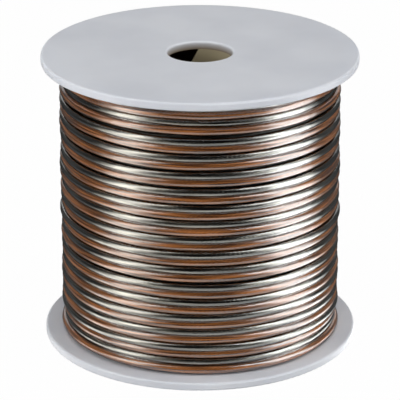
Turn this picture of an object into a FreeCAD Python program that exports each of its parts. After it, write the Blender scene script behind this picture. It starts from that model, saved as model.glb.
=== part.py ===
import FreeCAD, Part
import math
import os
import re

import Sketcher

# A plastic spool of clear-jacketed twin lead, standing on its lower flange.
# Two round flanges close the ends of a hollow barrel, and an arbor tube joins their bores.
# The origin is the centre of the lower flange's underside, with +Z up the spool's axis.

doc = FreeCAD.newDocument("WireSpool")

# Driving sizes, in millimetres and degrees. Angles go anticlockwise from +X, seen from above.

SIZES = [
    ("spool_height", 94.0, "over both flanges"),
    ("flange_radius", 50.0, "rim of each flange"),
    ("flange_thickness", 2.6, "plate of each flange"),
    ("rim_round", 0.6, "rounding of the flange's rim"),
    ("bore_radius", 10.3, "spindle bore through the whole spool"),
    ("bore_round", 0.7, "rounding where the bore leaves a flange"),
    ("barrel_radius", 25.0, "outside of the barrel that carries the wire"),
    ("barrel_wall", 2.0, "wall of the barrel"),
    ("tube_wall", 1.5, "wall of the arbor tube"),
    ("seat_height", 3.5, "rings on a flange that hold the barrel and the tube"),
    ("spigot_wall", 1.6, "ring that enters the barrel"),
    ("collar_wall", 1.5, "ring round the arbor tube"),
    ("seat_fit", 0.1, "clearance round the barrel and the tube in their seats"),
    ("window_depth", 9.0, "window in the arbor tube, down from its upper end"),
    ("window_edge", 0.4, "window's slanted edge at the tube's end, off the middle"),
    ("window_slant", 28.0, "slant of that edge, from upright"),
    ("winding_radius", 44.4, "outside of the wound wire"),
    ("lead_size", 2.45, "one insulated lead of the pair, over its corners"),
    ("lead_pitch", 2.6, "from the tinned lead's middle to the copper lead's"),
    ("turn_gap", 0.1, "least space from one pair of leads to the next"),
    ("end_gap", 0.3, "from the first and last turns to the flanges"),
    ("layer_gap", 0.1, "round the wound layers beneath the outer one"),
    ("tuck_radius", 5.0, "bend by which a lead's end dips into the layers beneath"),
    ("tuck_gap", 0.3, "round a tucked end in its pocket"),
    ("start_angle", 143.0, "where the outer layer comes up out of its pocket"),
    ("finish_angle", 37.0, "where the last turn is tucked in"),
    ("step_angle", 90.0, "middle of the stretch where each turn steps down"),
    ("step_span", 90.0, "length of that stretch"),
]

sheet = doc.addObject("Spreadsheet::Sheet", "Sizes")
for row, (alias, value, meaning) in enumerate(SIZES, start=1):
    sheet.set(f"A{row}", alias)
    sheet.set(f"B{row}", str(value))
    sheet.set(f"C{row}", meaning)
    sheet.setAlias(f"B{row}", alias)
doc.recompute()


def size(alias):
    return float(sheet.get(alias))


def bound(text):
    """An expression in the sheet's aliases, as setExpression takes it."""
    aliases = "|".join(alias for alias, value, meaning in SIZES)
    return re.sub(rf"\b({aliases})\b", r"Sizes.\1", text)


def plane_sketch(body, name, role):
    """A sketch on one of the body's own origin planes."""
    sketch = body.newObject("Sketcher::SketchObject", name)
    plane = next(f for f in body.Origin.OriginFeatures if f.Role == role)
    sketch.AttachmentSupport = (plane, [""])
    sketch.MapMode = "FlatFace"
    return sketch


def hold(sketch, kind, ends, drawn, text):
    """A dimension of a sketch, which follows the sheet."""
    number = sketch.addConstraint(Sketcher.Constraint(kind, *ends, drawn))
    sketch.setExpression(f"Constraints[{number}]", bound(text))


def four_sides(sketch, corners):
    """Straight lines through four corners, with the first and third level, the last upright."""
    for number, (x, z) in enumerate(corners):
        next_x, next_z = corners[(number + 1) % 4]
        side = Part.LineSegment(FreeCAD.Vector(x, z, 0), FreeCAD.Vector(next_x, next_z, 0))
        sketch.addGeometry(side, False)
    for number in range(4):
        sketch.addConstraint(Sketcher.Constraint("Coincident", number, 2, (number + 1) % 4, 1))
    sketch.addConstraint(Sketcher.Constraint("Horizontal", 0))
    sketch.addConstraint(Sketcher.Constraint("Horizontal", 2))
    sketch.addConstraint(Sketcher.Constraint("Vertical", 3))


def ring_sketch(body, name, radii, lift="0"):
    """Circles about the axis, one for each radius, on a plane lifted along Z."""
    sketch = plane_sketch(body, name, "XY_Plane")
    sketch.setExpression(".AttachmentOffset.Base.z", bound(lift))
    for number, radius in enumerate(radii):
        drawn = 10.0 + number
        sketch.addGeometry(Part.Circle(FreeCAD.Vector(), FreeCAD.Vector(0, 0, 1), drawn), False)
        sketch.addConstraint(Sketcher.Constraint("Coincident", number, 3, -1, 1))
        hold(sketch, "Radius", (number,), drawn, radius)
    return sketch


def pad(body, name, sketch, length):
    feature = body.newObject("PartDesign::Pad", name)
    feature.Profile = sketch
    feature.setExpression("Length", bound(length))
    return feature


def round_edges(body, name, base, radius, wanted):
    """A fillet on the base feature's circular edges for which wanted(radius, height) holds."""
    doc.recompute()
    names = []
    for number, edge in enumerate(base.Shape.Edges, start=1):
        if isinstance(edge.Curve, Part.Circle) and wanted(edge.Curve.Radius, edge.Curve.Center.z):
            names.append(f"Edge{number}")
    fillet = body.newObject("PartDesign::Fillet", name)
    fillet.Base = (base, names)
    fillet.setExpression("Radius", bound(radius))
    return fillet


def near(a, b):
    return abs(a - b) < 1e-6


# Flanges
# Each is a flat disc with a bore. Two rings on its inner face hold the ends of the barrel
# and of the arbor tube. A quarter of the tube's ring is left out, in line with the tube's
# window. The upper flange is the same moulding, turned over.

COLLAR = "bore_radius + tube_wall + seat_fit + collar_wall"


def flange(label):
    body = doc.addObject("PartDesign::Body", label)
    outline = ring_sketch(body, f"{label}_outline", ["flange_radius", "bore_radius"])
    pad(body, f"{label}_disc", outline, "flange_thickness")
    rings = ring_sketch(body, f"{label}_rings", [
        "barrel_radius - barrel_wall - seat_fit",
        "barrel_radius - barrel_wall - seat_fit - spigot_wall",
        COLLAR,
        "bore_radius + tube_wall + seat_fit",
    ], "flange_thickness")
    pad(body, f"{label}_seats", rings, "seat_height")
    foot = size("flange_thickness")
    top = foot + size("seat_height") + size("seat_fit")
    edge = -size("window_edge")
    far = -(size("bore_radius") + size("tube_wall") + 2 * size("seat_fit") + size("collar_wall"))
    quarter = plane_sketch(body, f"{label}_quarter", "XZ_Plane")
    quarter.setExpression(".AttachmentOffset.Base.z", bound("window_edge"))
    four_sides(quarter, [(far, foot), (edge, foot), (edge, top), (far, top)])
    quarter.addConstraint(Sketcher.Constraint("Vertical", 1))
    hold(quarter, "DistanceY", (-1, 1, 0, 1), foot, "flange_thickness")
    hold(quarter, "DistanceY", (0, 1, 3, 1), top - foot, "seat_height + seat_fit")
    hold(quarter, "DistanceX", (0, 1, -1, 1), -far, f"{COLLAR} + seat_fit")
    hold(quarter, "DistanceX", (1, 1, -1, 1), -edge, "window_edge")
    seats = body.newObject("PartDesign::Pocket", f"{label}_open_quarter")
    seats.Profile = quarter
    seats.Reversed = True
    seats.setExpression("Length", bound(f"{COLLAR} + seat_fit"))
    rim = round_edges(body, f"{label}_rim", seats, "rim_round",
                      lambda radius, height: near(radius, size("flange_radius")))
    round_edges(body, f"{label}_lip", rim, "bore_round",
                lambda radius, height: near(radius, size("bore_radius")) and near(height, 0))
    return body


lower_flange = flange("lower_flange")
upper_flange = flange("upper_flange")
upper_flange.setExpression(".Placement.Base.z", bound("spool_height"))
upper_flange.setExpression(".Placement.Rotation.Axis.x", "1")
upper_flange.setExpression(".Placement.Rotation.Axis.z", "0")
upper_flange.setExpression(".Placement.Rotation.Angle", "180")

# Barrel
# A plain tube that stands between the flanges, round their outer rings.


def plain_tube(label, outside, inside):
    """A tube about the axis that reaches from one flange to the other."""
    body = doc.addObject("PartDesign::Body", label)
    section = ring_sketch(body, f"{label}_section", [outside, inside], "flange_thickness")
    pad(body, f"{label}_length", section, "spool_height - 2 * flange_thickness")
    return body


barrel = plain_tube("barrel", "barrel_radius", "barrel_radius - barrel_wall")

# Arbor tube
# It carries the bore from flange to flange. A window in its upper end, cut at a slant,
# opens into the hollow barrel.

arbor_tube = plain_tube("arbor_tube", "bore_radius + tube_wall", "bore_radius")
window = plane_sketch(arbor_tube, "window_outline", "XZ_Plane")
tube_end = size("spool_height") - size("flange_thickness")
tube_radius = size("bore_radius") + size("tube_wall")
sill = tube_end - size("window_depth")
edge_top = -size("window_edge")
edge_foot = edge_top - size("window_depth") * math.tan(math.radians(size("window_slant")))
four_sides(window, [
    (-tube_radius, sill),
    (edge_foot, sill),
    (edge_top, tube_end),
    (-tube_radius, tube_end),
])
hold(window, "DistanceY", (-1, 1, 2, 1), tube_end, "spool_height - flange_thickness")
hold(window, "DistanceX", (2, 1, -1, 1), -edge_top, "window_edge")
hold(window, "DistanceY", (0, 1, 3, 1), tube_end - sill, "window_depth")
hold(window, "DistanceX", (0, 1, -1, 1), tube_radius, "bore_radius + tube_wall")
hold(window, "DistanceX", (1, 1, 2, 1), edge_top - edge_foot, "window_depth * tan(window_slant)")
window_cut = arbor_tube.newObject("PartDesign::Pocket", "window_cut")
window_cut.Profile = window
window_cut.setExpression("Length", bound("bore_radius + tube_wall"))

# Layers of wire beneath the outer one
# They stand as one plain core. A pocket near each flange takes an end of the outer layer.

PAIR = "(lead_size + lead_pitch)"
CORE = "(winding_radius - lead_size - layer_gap)"
TUCK_FOOT = "(winding_radius - 1.5 * lead_size - tuck_radius)"
TUCK_WIDTH = "(tuck_radius + 0.5 * lead_size + tuck_gap)"
FIRST_TURN = f"(spool_height - flange_thickness - end_gap - {PAIR} / 2)"
LAST_TURN = f"(flange_thickness + end_gap + {PAIR} / 2)"


def core_cylinder(name, radius):
    cylinder = doc.addObject("Part::Cylinder", name)
    cylinder.setExpression("Radius", bound(radius))
    cylinder.setExpression("Height", bound("spool_height - 2 * (flange_thickness + layer_gap)"))
    cylinder.setExpression(".Placement.Base.z", bound("flange_thickness + layer_gap"))
    return cylinder


def pocket(name, angle, side, turn_height):
    """A box from a tucked end out through the core, with one side along the radius at the angle."""
    box = doc.addObject("Part::Box", name)
    for target, expression in (
        ("Length", f"{CORE} - {TUCK_FOOT} + tuck_gap"),
        ("Width", TUCK_WIDTH),
        ("Height", f"{PAIR} + 2 * tuck_gap"),
        (".Placement.Base.x", f"{TUCK_FOOT} * cos({angle}) - {side} * sin({angle})"),
        (".Placement.Base.y", f"{TUCK_FOOT} * sin({angle}) + {side} * cos({angle})"),
        (".Placement.Base.z", f"{turn_height} - {PAIR} / 2 - tuck_gap"),
        (".Placement.Rotation.Angle", angle),
    ):
        box.setExpression(target, bound(expression))
    return box


core = doc.addObject("Part::Cut", "core")
core.Base = core_cylinder("core_outside", CORE)
core.Tool = core_cylinder("core_inside", "barrel_radius + layer_gap")
pockets = doc.addObject("Part::MultiFuse", "pockets")
pockets.Shapes = [
    pocket("start_pocket", "start_angle", f"(-{TUCK_WIDTH})", FIRST_TURN),
    pocket("finish_pocket", "finish_angle", "0", LAST_TURN),
]
inner_windings = doc.addObject("Part::Cut", "inner_windings")
inner_windings.Base = core
inner_windings.Tool = pockets

# Outer layer
# A pair of insulated leads, tinned above copper, goes round level and takes one short step down
# per turn at the back. Each lead comes up out of a pocket and is tucked back into the other.

PAIR_HEIGHT = size("lead_size") + size("lead_pitch")
PATH_RADIUS = size("winding_radius") - size("lead_size") / 2
INNER_HEIGHT = size("spool_height") - 2 * size("flange_thickness")
TRAVEL = INNER_HEIGHT - 2 * size("end_gap") - PAIR_HEIGHT
TURNS = 1 + int(TRAVEL / (PAIR_HEIGHT + size("turn_gap")))
PITCH = TRAVEL / (TURNS - 1)
TOP_TURN = size("flange_thickness") + size("end_gap") + TRAVEL + PAIR_HEIGHT / 2
STEP_START = size("step_angle") - size("step_span") / 2
STEP_END = size("step_angle") + size("step_span") / 2
SIDES = 6


def at(angle, radius, height):
    turn = math.radians(angle)
    return FreeCAD.Vector(radius * math.cos(turn), radius * math.sin(turn), height)


def arc_from(start, heading, end):
    """The arc that leaves start along heading and reaches end, and its direction there."""
    chord = end - start
    aside = chord - heading * chord.dot(heading)
    radius = chord.dot(chord) / (2 * aside.Length)
    centre = start + aside.normalize() * radius
    middle = centre + ((start + end) * 0.5 - centre).normalize() * radius
    along = chord.normalize()
    return Part.Arc(start, middle, end).toShape(), along * (2 * heading.dot(along)) - heading


def step_down(height):
    """A biarc from one level turn to the next, one pitch lower."""
    start = at(STEP_START, PATH_RADIUS, height)
    heading = at(STEP_START + 90, 1, 0)
    end = at(STEP_END, PATH_RADIUS, height - PITCH)
    end_heading = at(STEP_END + 90, 1, 0)
    chord = end - start
    both = chord.dot(heading + end_heading)
    square = 2 * (1 - heading.dot(end_heading))
    reach = (math.sqrt(both**2 + square * chord.dot(chord)) - both) / square
    joint = (start + end + (heading - end_heading) * reach) * 0.5
    first, joint_heading = arc_from(start, heading, joint)
    return [first, arc_from(joint, joint_heading, end)[0]]


def level_turn(first, last, height):
    """Equal arcs of up to a quarter turn each, from the first angle to the last."""
    count = math.ceil((last - first) / 90)
    span = (last - first) / count
    return [
        Part.Arc(
            at(first + n * span, PATH_RADIUS, height),
            at(first + (n + 0.5) * span, PATH_RADIUS, height),
            at(first + (n + 1) * span, PATH_RADIUS, height),
        ).toShape()
        for n in range(count)
    ]


def tuck(angle, height, side):
    """The bend between the outer layer and a pocket, and the straight end in the pocket."""
    bend = size("tuck_radius")
    out = at(angle, 1, 0)
    along = at(angle + 90, 1, 0) * side
    on_layer = at(angle, PATH_RADIUS, height)
    centre = on_layer - out * bend
    inside = centre + along * bend
    foot = inside - out * size("lead_size")
    middle = centre + (out + along).normalize() * bend
    return [Part.LineSegment(foot, inside).toShape(), Part.Arc(inside, middle, on_layer).toShape()]


def lead_path(offset):
    """One lead's middle line, from its end under the upper flange to the one over the lower."""
    edges = tuck(size("start_angle"), TOP_TURN + offset, -1)
    for number in range(TURNS):
        height = TOP_TURN + offset - number * PITCH
        first = size("start_angle") if number == 0 else STEP_END
        last = size("finish_angle") if number == TURNS - 1 else STEP_START
        edges += level_turn(first, last + 360, height)
        if number < TURNS - 1:
            edges += step_down(height)
    return Part.Wire(edges + tuck(size("finish_angle"), height, 1)[::-1])


def wound_lead(label, offset):
    """A lead with flat sides, swept in one run along its path."""
    path = lead_path(offset)
    foot = path.Edges[0].Vertexes[0].Point
    aside = at(size("start_angle") + 90, 1, 0)
    up = FreeCAD.Vector(0, 0, 1)
    corners = [
        foot + (aside * math.cos(a) + up * math.sin(a)) * (size("lead_size") / 2)
        for a in (2 * math.pi * n / SIDES for n in range(SIDES))
    ]
    section = Part.makePolygon(corners + corners[:1])
    sweep = Part.BRepOffsetAPI.MakePipeShell(path)
    sweep.add(section)
    sweep.build()
    sweep.makeSolid()
    lead = doc.addObject("Part::Feature", label)
    lead.Shape = sweep.shape()
    filled = lead.Shape.Volume / (Part.Face(section).Area * path.Length)
    print(f"{label}: {TURNS} turns, {path.Length:.0f} mm, volume {filled:.4f} of section by length")
    return path.discretize(Number=int(path.Length / size("lead_size")))


tinned_points = wound_lead("tinned_lead", size("lead_pitch") / 2)
copper_points = wound_lead("copper_lead", -size("lead_pitch") / 2)
half_turn = len(tinned_points) // (2 * TURNS)
self_gap = min(
    p.distanceToPoint(q)
    for n, p in enumerate(tinned_points)
    for q in tinned_points[n + half_turn:]
) - size("lead_size")
pair_gap = min(p.distanceToPoint(q) for p in tinned_points for q in copper_points) - size("lead_size")
print(f"least gap of a lead to itself {self_gap:.2f} mm, to the other lead {pair_gap:.2f} mm")

# Check and export

doc.recompute()
failed = [o.Label for o in doc.Objects if {"Invalid", "Error"} & set(o.State)]
if failed:
    raise RuntimeError(f"failed objects: {failed}")

NODES = [
    "lower_flange",
    "upper_flange",
    "barrel",
    "arbor_tube",
    "inner_windings",
    "tinned_lead",
    "copper_lead",
]
os.makedirs("parts", exist_ok=True)
for node in NODES:
    shape = doc.getObjectsByLabel(node)[0].Shape
    if shape.isNull() or not shape.isValid() or len(shape.Solids) != 1:
        raise RuntimeError(f"{node} isn't one valid solid")
    shape.exportStep(f"parts/{node}.step")
    print(f"{node}: {shape.Volume / 1000:.2f} cm3")
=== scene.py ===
import math

import bpy
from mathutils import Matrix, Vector


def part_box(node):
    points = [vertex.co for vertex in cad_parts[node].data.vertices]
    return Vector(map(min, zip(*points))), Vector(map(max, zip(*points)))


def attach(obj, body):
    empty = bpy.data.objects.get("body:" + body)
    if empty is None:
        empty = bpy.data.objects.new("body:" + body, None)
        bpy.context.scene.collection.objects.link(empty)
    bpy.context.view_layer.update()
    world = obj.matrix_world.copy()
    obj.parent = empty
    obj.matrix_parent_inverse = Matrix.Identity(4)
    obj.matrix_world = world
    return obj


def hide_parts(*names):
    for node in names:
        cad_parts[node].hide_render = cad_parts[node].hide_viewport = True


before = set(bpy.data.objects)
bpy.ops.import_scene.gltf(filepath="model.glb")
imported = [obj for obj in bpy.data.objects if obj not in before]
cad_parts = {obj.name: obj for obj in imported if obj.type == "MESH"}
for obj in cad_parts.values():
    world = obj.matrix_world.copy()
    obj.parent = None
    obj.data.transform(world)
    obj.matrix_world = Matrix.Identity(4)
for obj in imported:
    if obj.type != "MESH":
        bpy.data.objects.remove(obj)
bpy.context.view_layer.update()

# Camera
# It stands in front of the spool and looks down on it at 21 degrees, from far enough back that
# the two flanges come out nearly the same width.
MM = 0.001
LOOK_DOWN = math.radians(21.18)
STAND_OFF = 800.6 * MM
EYE_HEIGHT = 354.2 * MM
bpy.ops.object.select_all(action="DESELECT")
bpy.ops.object.camera_add(
    location=(0, -STAND_OFF, EYE_HEIGHT),
    rotation=(math.radians(90) - LOOK_DOWN, 0, 0),
)
camera = bpy.context.object
camera.name = "camera"
camera.data.lens = 241.2
camera.data.sensor_width = 36
bpy.context.scene.camera = camera

# Spool body
# Two flanges, the barrel that carries the winding and the tube round the spindle hole are moulded
# in natural, milky plastic that lets some light through, with a faint orange-peel skin from the
# mould. The wall of each bore is painted a brown shade, the barrel a near-black shade and the
# spindle tube a tan shade: painted shade, tinted by the light that comes through the wire.
MID_HEIGHT = 47 * MM
BORE_WALL = 11.1 * MM
BORE_REACH = 46.8 * MM
BORE_FADE = 450
BORE_PAINTED_SHADE = (0.262, 0.212, 0.159, 1)


class Finish:
    """A value or colour that changes over a surface; sums with it become shader nodes."""

    def __init__(self, tree, socket=None):
        self.tree = tree
        self.socket = socket

    def node(self, kind, settings, inputs, output=0):
        """A node of a kind, with its settings, and with values or links on its sockets."""
        made = self.tree.nodes.new(kind)
        for name, value in settings.items():
            if name == "stops":
                ramp = made.color_ramp.elements
                while len(ramp) < len(value):
                    ramp.new(1.0)
                for element, (place, colour) in zip(ramp, value):
                    element.position = place
                    element.color = (*colour, 1.0)
            else:
                setattr(made, name, value)
        for name, value in inputs.items():
            if isinstance(value, Finish):
                self.tree.links.new(value.socket, made.inputs[name])
            else:
                made.inputs[name].default_value = value
        return Finish(self.tree, made.outputs[output])

    def other(self, output):
        """Another output of the same node."""
        return Finish(self.tree, self.socket.node.outputs[output])

    def maths(self, operation, *values):
        return self.node("ShaderNodeMath", {"operation": operation}, dict(enumerate(values)))

    def __add__(self, other):
        return self.maths("ADD", self, other)

    def __radd__(self, other):
        return self.maths("ADD", other, self)

    def __sub__(self, other):
        return self.maths("SUBTRACT", self, other)

    def __rsub__(self, other):
        return self.maths("SUBTRACT", other, self)

    def __mul__(self, other):
        return self.maths("MULTIPLY", self, other)

    def __rmul__(self, other):
        return self.maths("MULTIPLY", other, self)

    def __pow__(self, power):
        return self.maths("POWER", self, power)

    def __abs__(self):
        return self.maths("ABSOLUTE", self)

    def __lt__(self, other):
        return self.maths("LESS_THAN", self, other)

    def sine(self):
        return self.maths("SINE", self)

    def clamped(self):
        """The same sum, held between 0 and 1."""
        self.socket.node.use_clamp = True
        return self

    def mix(self, first, second):
        """From one colour over to another, by this amount."""
        settings = {"data_type": "RGBA", "blend_type": "MIX"}
        return self.node("ShaderNodeMix", settings, {0: self, 6: first, 7: second}, output=2)

    def show(self):
        """This shader, as what the material's surface shows."""
        surface = self.tree.nodes["Material Output"].inputs["Surface"]
        self.tree.links.new(self.socket, surface)


def new_finish(name):
    """A material with nothing but its output, and the start for its nodes."""
    material = bpy.data.materials.new(name)
    material.use_nodes = True
    material.node_tree.nodes.clear()
    material.node_tree.nodes.new("ShaderNodeOutputMaterial")
    return material, Finish(material.node_tree)


def from_axis(place):
    """How far a place is from the upright line through the bore."""
    level = place.node("ShaderNodeVectorMath", {"operation": "MULTIPLY"}, {0: place, 1: (1, 1, 0)})
    return place.node("ShaderNodeVectorMath", {"operation": "LENGTH"}, {0: level}, output="Value")


natural_plastic, start = new_finish("natural_plastic")
place = start.node("ShaderNodeTexCoord", {}, {}, output="Object")
clouds = start.node("ShaderNodeTexNoise", {}, {"Vector": place, "Scale": 38.0, "Detail": 3.0})
grain = start.node("ShaderNodeTexNoise", {}, {"Vector": place, "Scale": 900.0, "Detail": 2.0})
milk = start.node(
    "ShaderNodeValToRGB",
    {"stops": [(0.35, (0.66, 0.68, 0.73)), (0.65, (0.72, 0.74, 0.785))]},
    {"Fac": clouds},
)
height = start.node("ShaderNodeSeparateXYZ", {}, {"Vector": place}, output="Z")
# Inside the bore the milky colour gives way to a painted brown shade, tinted by light through the
# wire.
bore = from_axis(place) < BORE_WALL
painted_shade_span = ((BORE_REACH - abs(height - MID_HEIGHT)) * BORE_FADE).clamped()
skin = start.node("ShaderNodeBump", {}, {"Strength": 0.12, "Distance": 0.1 * MM, "Height": grain})
plastic = start.node(
    "ShaderNodeBsdfPrincipled",
    {"subsurface_method": "RANDOM_WALK"},
    {
        "Base Color": (bore * painted_shade_span).mix(milk, BORE_PAINTED_SHADE),
        "Roughness": 0.38 + clouds * 0.14,
        "Normal": skin,
        "IOR": 1.5,
        "Subsurface Weight": 0.35,
        "Subsurface Radius": (2.2 * MM, 2.4 * MM, 2.6 * MM),
        "Subsurface Scale": 1.0,
    },
)
plastic.show()


def painted_shade_wall(name, colour):
    """The same plastic in a thin wall, with a painted shade as its colour, tinted by light through
    the wire.
    """
    material, start = new_finish(name)
    place = start.node("ShaderNodeTexCoord", {}, {}, output="Object")
    clouds = start.node("ShaderNodeTexNoise", {}, {"Vector": place, "Scale": 90.0, "Detail": 3.0})
    red, green, blue = colour
    darker = (red * 0.7, green * 0.68, blue * 0.62, 1)
    wall = start.node(
        "ShaderNodeBsdfPrincipled",
        {},
        {
            "Base Color": (clouds * 0.5).mix((red, green, blue, 1), darker),
            "Roughness": 0.3 + clouds * 0.2,
        },
    )
    wall.show()
    return material


# Painted shade: the spindle tube is tan, and the barrel near-black for the dark hollow inside the
# winding.
tube_painted_shade = painted_shade_wall("tube_painted_shade", (0.45, 0.39, 0.26))
barrel_painted_shade = painted_shade_wall("barrel_painted_shade", (0.05, 0.022, 0.014))
for name, finish in (
    ("lower_flange", natural_plastic),
    ("upper_flange", natural_plastic),
    ("barrel", barrel_painted_shade),
    ("arbor_tube", tube_painted_shade),
):
    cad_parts[name].data.materials.clear()
    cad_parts[name].data.materials.append(finish)

# Twin lead, outer layer
# A clear jacket carries two stranded conductors side by side, a tinned one above a copper one. It
# goes round 17 times from the upper flange down, nearly level in front, and steps down behind.
# Each turn has its own height and sink in millimetres, and its own lean in degrees.
PAIR_HEIGHTS = [
    88.8, 83.9, 78.1, 72.8, 67.2, 61.7, 56.5, 51.4, 46.35,
    41.3, 36.15, 30.5, 25.5, 20.5, 15.45, 10.5, 5.45,
]
PAIR_SINKS = [
    0.1, 0.55, 0.05, 0.0, 0.1, 0.0, -0.1, 0.05, 0.1,
    -0.1, 0.0, 0.15, 0.0, -0.05, 0.1, 0.0, 0.2,
]
PAIR_LEANS = [
    10, -22, 4, -3, 6, -4, 3, -8, 5,
    12, -5, 3, -6, 4, -3, 14, -24,
]
TURNS = len(PAIR_HEIGHTS)
TURN_POINTS = 24
LAYER = 43.55 * MM
STEP_FROM, STEP_TO = 45, 135
LEVEL_DROP = 1.2
WOBBLE_OUT, WOBBLE_UP = 0.07, 0.08
START_ANGLE, FINISH_ANGLE = 143, 37
BEND = 5.0 * MM
CONDUCTOR = 1.19 * MM
APART = 1.27 * MM


def lead_point(angle):
    """Where the pair's middle is and how it leans, at an angle counted on from turn to turn."""
    turn, rest = divmod(angle - STEP_TO, 360)
    turn = int(turn)
    after = min(turn + 1, TURNS - 1)
    level = 360 - (STEP_TO - STEP_FROM)
    if rest <= level:
        share = 0.0
        height = PAIR_HEIGHTS[turn] - LEVEL_DROP * (rest / level - 0.5)
    else:
        share = (rest - level) / (STEP_TO - STEP_FROM)
        ease = share * share * (3 - 2 * share)
        height = (PAIR_HEIGHTS[turn] - LEVEL_DROP / 2) * (1 - ease)
        height += (PAIR_HEIGHTS[after] + LEVEL_DROP / 2) * ease
    sink = PAIR_SINKS[turn] * (1 - share) + PAIR_SINKS[after] * share
    lean = PAIR_LEANS[turn] * (1 - share) + PAIR_LEANS[after] * share
    turned = math.radians(angle)
    wave = math.sin(2 * turned + 2.4 * turn) + 0.6 * math.sin(5 * turned + 1.7 * turn)
    radius = LAYER - sink * MM + WOBBLE_OUT * wave * MM
    height += WOBBLE_UP * math.sin(3 * turned + 1.3 * turn)
    spot = Vector((radius * math.cos(turned), radius * math.sin(turned), height * MM))
    return spot, math.radians(lean)


def lead_route():
    """The pair's middle line: out of the layer below, round all its turns, and back into it."""
    first = START_ANGLE
    last = FINISH_ANGLE + 360 * TURNS
    steps = round((last - first) / 360 * TURN_POINTS)
    route = [lead_point(first + (last - first) * n / steps) for n in range(steps + 1)]
    for end, neighbour in ((0, 1), (-1, -2)):
        spot, lean = route[end]
        along = (spot - route[neighbour][0]).normalized()
        inward = Vector((-spot.x, -spot.y, 0)).normalized()
        corner = spot + along * BEND * 0.9
        foot = corner + inward * BEND * 1.6
        if end == 0:
            route = [(foot, lean), (corner, lean)] + route
        else:
            route = route + [(corner, lean), (foot, lean)]
    return route


def outline_curve(name, points):
    """A closed flat curve that a lead is swept with: x points out of the winding, y up."""
    flat = bpy.data.curves.new(name, "CURVE")
    spline = flat.splines.new("POLY")
    spline.points.add(len(points) - 1)
    for point, (x, y) in zip(spline.points, points):
        point.co = (x, y, 0, 1)
    spline.use_cyclic_u = True
    outline = bpy.data.objects.new(name, flat)
    bpy.context.scene.collection.objects.link(outline)
    return outline


def made_mesh(name, line):
    """A curve as a mesh object, selected and alone active."""
    piece = bpy.data.objects.new(name, line)
    bpy.context.scene.collection.objects.link(piece)
    bpy.ops.object.select_all(action="DESELECT")
    piece.select_set(True)
    bpy.context.view_layer.objects.active = piece
    bpy.ops.object.convert(target="MESH")
    return bpy.context.object


def seams_closed():
    """The active mesh with its seams merged, its faces outwards and its round sides smooth."""
    bpy.ops.object.mode_set(mode="EDIT")
    bpy.ops.mesh.select_all(action="SELECT")
    bpy.ops.mesh.remove_doubles(threshold=0.01 * MM)
    bpy.ops.mesh.normals_make_consistent(inside=False)
    bpy.ops.object.mode_set(mode="OBJECT")
    bpy.ops.object.shade_smooth_by_angle(angle=math.radians(50))


def swept_lead(name, outline):
    """One part of the lead: its outline swept along the route, as a mesh with a UV map."""
    route = lead_route()
    line = bpy.data.curves.new(name, "CURVE")
    line.dimensions = "3D"
    spline = line.splines.new("NURBS")
    spline.points.add(len(route) - 1)
    for point, (spot, lean) in zip(spline.points, route):
        point.co = (*spot, 1)
        point.tilt = lean
    spline.order_u = 3
    spline.use_endpoint_u = True
    line.resolution_u = 4
    line.twist_mode = "Z_UP"
    line.bevel_mode = "OBJECT"
    line.bevel_object = outline
    line.use_fill_caps = True
    lead = made_mesh(name, line)
    seams_closed()
    bpy.data.objects.remove(outline)
    return lead


def conductor_outline(name, height):
    sides = 12
    turned = [math.pi + math.tau * n / sides for n in range(sides)]
    ring = [(CONDUCTOR * math.cos(a), height + CONDUCTOR * math.sin(a)) for a in turned]
    return outline_curve(name, ring)


tinned_conductor = swept_lead("tinned_conductor", conductor_outline("tinned_ring", APART))
copper_conductor = swept_lead("copper_conductor", conductor_outline("copper_ring", -APART))


STRANDS = 16
STRAND_TWISTS = 3300


def stranded(name, light, dark, metallic, roughness, coat):
    """Fine bare strands with a long twist, drawn bright, under the sheen of the clear jacket."""
    material, start = new_finish(name)
    along = start.node("ShaderNodeUVMap", {"uv_map": "UVMap"}, {})
    run = start.node("ShaderNodeSeparateXYZ", {}, {"Vector": along}, output="X")
    turned = run.other("Y")
    strands = ((turned * STRANDS + run * STRAND_TWISTS) * math.tau).sine()
    fine = start.node("ShaderNodeCombineXYZ", {}, {"X": turned * 17, "Y": run * 260})
    streaks = start.node("ShaderNodeTexNoise", {}, {"Vector": fine, "Scale": 1.0, "Detail": 1.0})
    colour = start.node(
        "ShaderNodeValToRGB",
        {"stops": [(0.4, dark), (0.64, light)]},
        {"Fac": strands * 0.1 + streaks},
    )
    broad = start.node("ShaderNodeCombineXYZ", {}, {"X": turned * 0.8, "Y": run * 330})
    waves = start.node("ShaderNodeTexNoise", {}, {"Vector": broad, "Scale": 1.0, "Detail": 1.0})
    bent = start.node(
        "ShaderNodeBump",
        {},
        {"Strength": 1.0, "Distance": 0.5 * MM, "Height": waves + streaks * 0.3},
    )
    ridges = start.node(
        "ShaderNodeBump",
        {},
        {"Strength": 0.3, "Distance": 0.04 * MM, "Height": strands + streaks * 2, "Normal": bent},
    )
    metal = start.node(
        "ShaderNodeBsdfPrincipled",
        {},
        {
            "Base Color": colour,
            "Metallic": metallic,
            "Roughness": roughness + streaks * 0.12,
            "Normal": ridges,
            "Specular Tint": (0.35, 0.35, 0.35, 1),
            "Coat Weight": coat,
            "Coat Roughness": 0.04,
            "Coat IOR": 1.65,
        },
    )
    metal.show()
    return material


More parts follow.
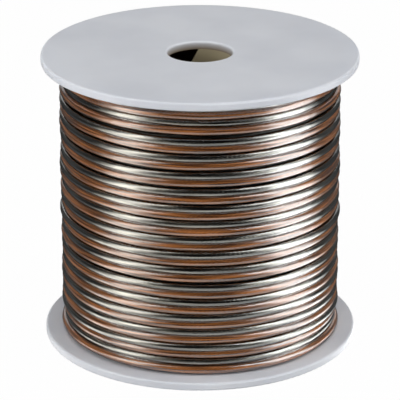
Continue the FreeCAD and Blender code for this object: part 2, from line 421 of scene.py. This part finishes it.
tinned_strands = stranded(
    "tinned_strands",
    light=(0.42, 0.415, 0.365),
    dark=(0.04, 0.043, 0.036),
    metallic=1.0,
    roughness=0.1,
    coat=0.5,
)
copper_strands = stranded(
    "copper_strands",
    light=(0.55, 0.20, 0.052),
    dark=(0.065, 0.02, 0.006),
    metallic=0.15,
    roughness=0.3,
    coat=0.5,
)
for conductor, strands, node, slot in (
    (tinned_conductor, tinned_strands, "tinned_lead", "tinned_in_clear"),
    (copper_conductor, copper_strands, "copper_lead", "copper_in_clear"),
):
    conductor.data.materials.clear()
    conductor.data.materials.append(strands)
    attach(conductor, "root")
    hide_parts(node)

# Clear jacket
# Soft clear plastic is moulded round both conductors in one piece, with a thin web between them.
# It has a wet gloss, which lies as a bright veil where it is seen at a low angle.
LOBE = 1.275 * MM
WAIST = math.radians(68)


def jacket_outline():
    """Two round lobes, one above the other, that meet at the waist."""
    sides = 11
    turned = [-WAIST + n * (math.pi + 2 * WAIST) / (sides - 1) for n in range(sides)]
    points = [(LOBE * math.cos(a), APART + LOBE * math.sin(a)) for a in turned]
    points += [(-x, -y) for x, y in points]
    return outline_curve("jacket_ring", points)


jacket = swept_lead("clear_jacket", jacket_outline())
clear_plastic, start = new_finish("clear_plastic")
along = start.node("ShaderNodeUVMap", {"uv_map": "UVMap"}, {})
lengthwise = start.node(
    "ShaderNodeVectorMath", {"operation": "MULTIPLY"}, {0: along, 1: (380, 3, 1)}
)
ripple = start.node("ShaderNodeTexNoise", {}, {"Vector": lengthwise, "Scale": 1.0})
lined = start.node("ShaderNodeVectorMath", {"operation": "MULTIPLY"}, {0: along, 1: (600, 44, 1)})
drawn = start.node("ShaderNodeTexNoise", {}, {"Vector": lined, "Scale": 1.0})
skin = start.node(
    "ShaderNodeBump",
    {},
    {"Strength": 1.0, "Distance": 0.3 * MM, "Height": ripple + drawn * 0.12},
)
facing = start.node("ShaderNodeLayerWeight", {}, {"Blend": 0.5}, output="Facing")
gloss = start.node(
    "ShaderNodeBsdfPrincipled",
    {},
    {
        "Base Color": (0.95, 0.95, 0.95, 1),
        "Metallic": 1.0,
        "Roughness": 0.06 + ripple * 0.08,
        "Normal": skin,
        "Specular Tint": (0.1, 0.1, 0.1, 1),
        "Alpha": 0.16 + facing ** 3 * 0.78,
    },
)
gloss.show()
jacket.data.materials.clear()
jacket.data.materials.append(clear_plastic)
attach(jacket, "root")
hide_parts("tinned_lead", "copper_lead")

# Layers below
# The same lead fills the spool from the barrel out, and shows only as ridges in the gaps of the
# outer layer and where that ends behind. These ridges get darker copies of the copper and tin, as
# painted shade for the gaps. One turned ring stands for all of them, with a ridge for each lead
# that lies outermost in it.
RIDGES = 34
RIDGE_POINTS = 5
BARE_IN = 25.1 * MM
inside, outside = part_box("inner_windings")
ridge_out = outside.x - LOBE
ridge_pitch = (outside.z - inside.z) / RIDGES
profile = [(BARE_IN, inside.z)]
for ridge in range(RIDGES):
    middle = inside.z + (ridge + 0.5) * ridge_pitch
    for n in range(RIDGE_POINTS):
        a = math.radians(-72 + 36 * n)
        profile.append((ridge_out + LOBE * math.cos(a), middle + ridge_pitch / 2 * math.sin(a)))
profile.append((BARE_IN, outside.z))
line = bpy.data.curves.new("inner_layers", "CURVE")
line.dimensions = "3D"
spline = line.splines.new("POLY")
spline.points.add(len(profile) - 1)
for point, (x, z) in zip(spline.points, profile):
    point.co = (x, 0, z, 1)
spline.use_cyclic_u = True
inner_layers = made_mesh("inner_layers", line)
bpy.ops.object.mode_set(mode="EDIT")
bpy.ops.mesh.select_all(action="SELECT")
bpy.ops.mesh.spin(steps=96, angle=math.tau, center=(0, 0, 0), axis=(0, 0, 1))
seams_closed()
inner_layers.data.materials.clear()
# Painted shade: the copper and tin below are darker copies of the outer layer's.
for name, light, dark in (
    ("copper_below_painted_shade", (0.26, 0.12, 0.06), (0.08, 0.035, 0.02)),
    ("tinned_below_painted_shade", (0.22, 0.22, 0.21), (0.07, 0.075, 0.07)),
):
    inner_layers.data.materials.append(
        stranded(name, light, dark, metallic=1.0, roughness=0.4, coat=0.0)
    )
for face in inner_layers.data.polygons:
    face.material_index = int((face.center.z - inside.z) / ridge_pitch) % 2
ribs = inner_layers.data.uv_layers.new(name="UVMap")
for face in inner_layers.data.polygons:
    middle = math.atan2(face.center.y, face.center.x)
    for corner in face.loop_indices:
        spot = inner_layers.data.vertices[inner_layers.data.loops[corner].vertex_index].co
        turn = math.remainder(math.atan2(spot.y, spot.x) - middle, math.tau) + middle
        run = turn / (math.tau * TURNS)
        ribs.data[corner].uv = (run, (spot.z - inside.z) / ridge_pitch / 2)
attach(inner_layers, "root")
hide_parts("inner_windings")

# Studio
# A pale floor under a white background, with a soft lamp at the right, one at the left and one
# overhead. The wire is lit by what it mirrors: a shell of cards round the spool, seen only in
# reflections, is dark in front, bright in a sector at each side and faint behind.
SHADOW_SHARE = 0.015
FILL = 0.15


def white_rays(start):
    """One for a ray from the camera, a reflection or a pane, nought for one that lights."""
    camera_ray = start.node("ShaderNodeLightPath", {}, {}, output="Is Camera Ray")
    return camera_ray + camera_ray.other("Is Glossy Ray") + camera_ray.other("Is Transmission Ray")


bpy.ops.object.select_all(action="DESELECT")
bpy.ops.mesh.primitive_plane_add(size=12)
floor = bpy.context.object
floor.name = "floor"
white_floor, start = new_finish("white_floor")
paint = start.node("ShaderNodeBsdfDiffuse", {}, {"Color": (0.62, 0.62, 0.62, 1)})
glow = start.node("ShaderNodeEmission", {}, {"Color": (1, 1, 1, 1), "Strength": 1.0})
blend = start.node(
    "ShaderNodeMixShader", {}, {0: white_rays(start) * (1 - SHADOW_SHARE), 1: paint, 2: glow}
)
blend.show()
floor.data.materials.append(white_floor)

world = bpy.data.worlds.new("studio")
bpy.context.scene.world = world
world.use_nodes = True
world.node_tree.nodes.clear()
sky = Finish(world.node_tree)
back = sky.node(
    "ShaderNodeBackground",
    {},
    {"Color": (1, 1, 1, 1), "Strength": white_rays(sky) * (1 - FILL) + FILL},
)
sky.tree.links.new(back.socket, sky.tree.nodes.new("ShaderNodeOutputWorld").inputs["Surface"])

AIM = Vector((0, 0, 0.05))


def soft_lamp(name, azimuth, elevation, distance, width, height, power):
    """An area lamp that faces the spool, at an azimuth counted from the camera to the right."""
    a = math.radians(azimuth)
    e = math.radians(elevation)
    way = Vector((math.sin(a) * math.cos(e), -math.cos(a) * math.cos(e), math.sin(e)))
    spot = AIM + distance * way
    turn = (AIM - spot).to_track_quat("-Z", "Y").to_euler()
    bpy.ops.object.light_add(type="AREA", location=spot, rotation=turn)
    lamp = bpy.context.object
    lamp.name = name
    lamp.visible_camera = False
    lamp.visible_glossy = False
    lamp.data.shape = "RECTANGLE"
    lamp.data.size = width
    lamp.data.size_y = height
    lamp.data.energy = power


soft_lamp("right_lamp", 67, 16, distance=0.9, width=0.55, height=0.8, power=5.2)
soft_lamp("left_lamp", -58, 16, distance=0.9, width=0.42, height=0.6, power=4.7)
soft_lamp("top_lamp", 0, 84, distance=1.1, width=0.8, height=0.8, power=5.2)

# Strength by azimuth in degrees, counted from the camera to the right, on the shell's wall and on
# the table. From 18 to 32 cm out the table's light gives way to the wall's, and from 10 to 43 cm
# out so does the dark ceiling's.
WALL_LIGHT = [
    (-90, 0.05), (-82, 0.3), (-75, 1.0), (-66, 2.8), (-54, 2.8), (-44, 1.0), (-34, 0.12),
    (-20, 0.012), (28, 0.012), (42, 0.1), (52, 0.5), (60, 1.9), (67, 3.9), (88, 3.9), (96, 2.2),
    (104, 0.4), (110, 0.05), (122, 0.1), (148, 0.12), (154, 0.9), (160, 0.9), (165, 0.08),
    (195, 0.08), (200, 0.9), (206, 0.9), (212, 0.12), (238, 0.1), (252, 0.05), (270, 0.05),
]
TABLE_LIGHT = [
    (-90, 0.2), (-88, 0.3), (-78, 1.0), (-68, 2.2), (-54, 2.2), (-42, 0.9), (-28, 0.75),
    (35, 0.75), (50, 0.9), (64, 3.8), (88, 3.8), (98, 1.6), (108, 0.2), (120, 0.2), (260, 0.2),
]
FULL_LIGHT = 3.9
WARM_LEFT = (1, 0.96, 0.9)
WHITE_RIGHT = (1, 1, 1)
CEILING = (0.004, 0.004, 0.004, 1)
SHELL_RADIUS = 1.23
SHELL_HEIGHT = 1.3
OVER_FLOOR = 0.5 * MM
CEILING_DARK, CEILING_FADE = 0.1, 3
TABLE_END, TABLE_FADE = 0.32, 7
TABLE_TOP = 0.01


def light_round(azimuth, lights):
    """The shell's light at an azimuth, as a share of the full light."""
    stops = []
    for degrees, strength in lights:
        tone = WARM_LEFT if degrees < 0 else WHITE_RIGHT
        stops.append((0.25 + degrees / 360, [strength / FULL_LIGHT * part for part in tone]))
    return azimuth.node("ShaderNodeValToRGB", {"stops": stops}, {"Fac": azimuth})


bpy.ops.object.select_all(action="DESELECT")
bpy.ops.mesh.primitive_cylinder_add(
    vertices=72,
    radius=SHELL_RADIUS,
    depth=SHELL_HEIGHT,
    end_fill_type="TRIFAN",
    location=(0, 0, SHELL_HEIGHT / 2 + OVER_FLOOR),
)
cards = bpy.context.object
cards.name = "dark_cards"
bpy.ops.object.transform_apply(location=True, rotation=True, scale=True)
card_light, start = new_finish("card_light")
place = start.node("ShaderNodeTexCoord", {}, {}, output="Object")
height = start.node("ShaderNodeSeparateXYZ", {}, {"Vector": place}, output="Z")
azimuth = start.node(
    "ShaderNodeTexGradient", {"gradient_type": "RADIAL"}, {"Vector": place}, output="Fac"
)
wall = light_round(azimuth, WALL_LIGHT)
table = light_round(azimuth, TABLE_LIGHT)
reach = from_axis(place)
out = ((reach - CEILING_DARK) * CEILING_FADE).clamped()
near = ((TABLE_END - reach) * TABLE_FADE).clamped()
low = height < TABLE_TOP
shade = low.mix(out.mix(CEILING, wall), near.mix(wall, table))
light = start.node("ShaderNodeEmission", {}, {"Color": shade, "Strength": FULL_LIGHT})
light.show()
cards.data.materials.append(card_light)
cards.visible_camera = False
cards.visible_shadow = False
cards.visible_diffuse = False

bpy.context.scene.view_settings.view_transform = "Standard"
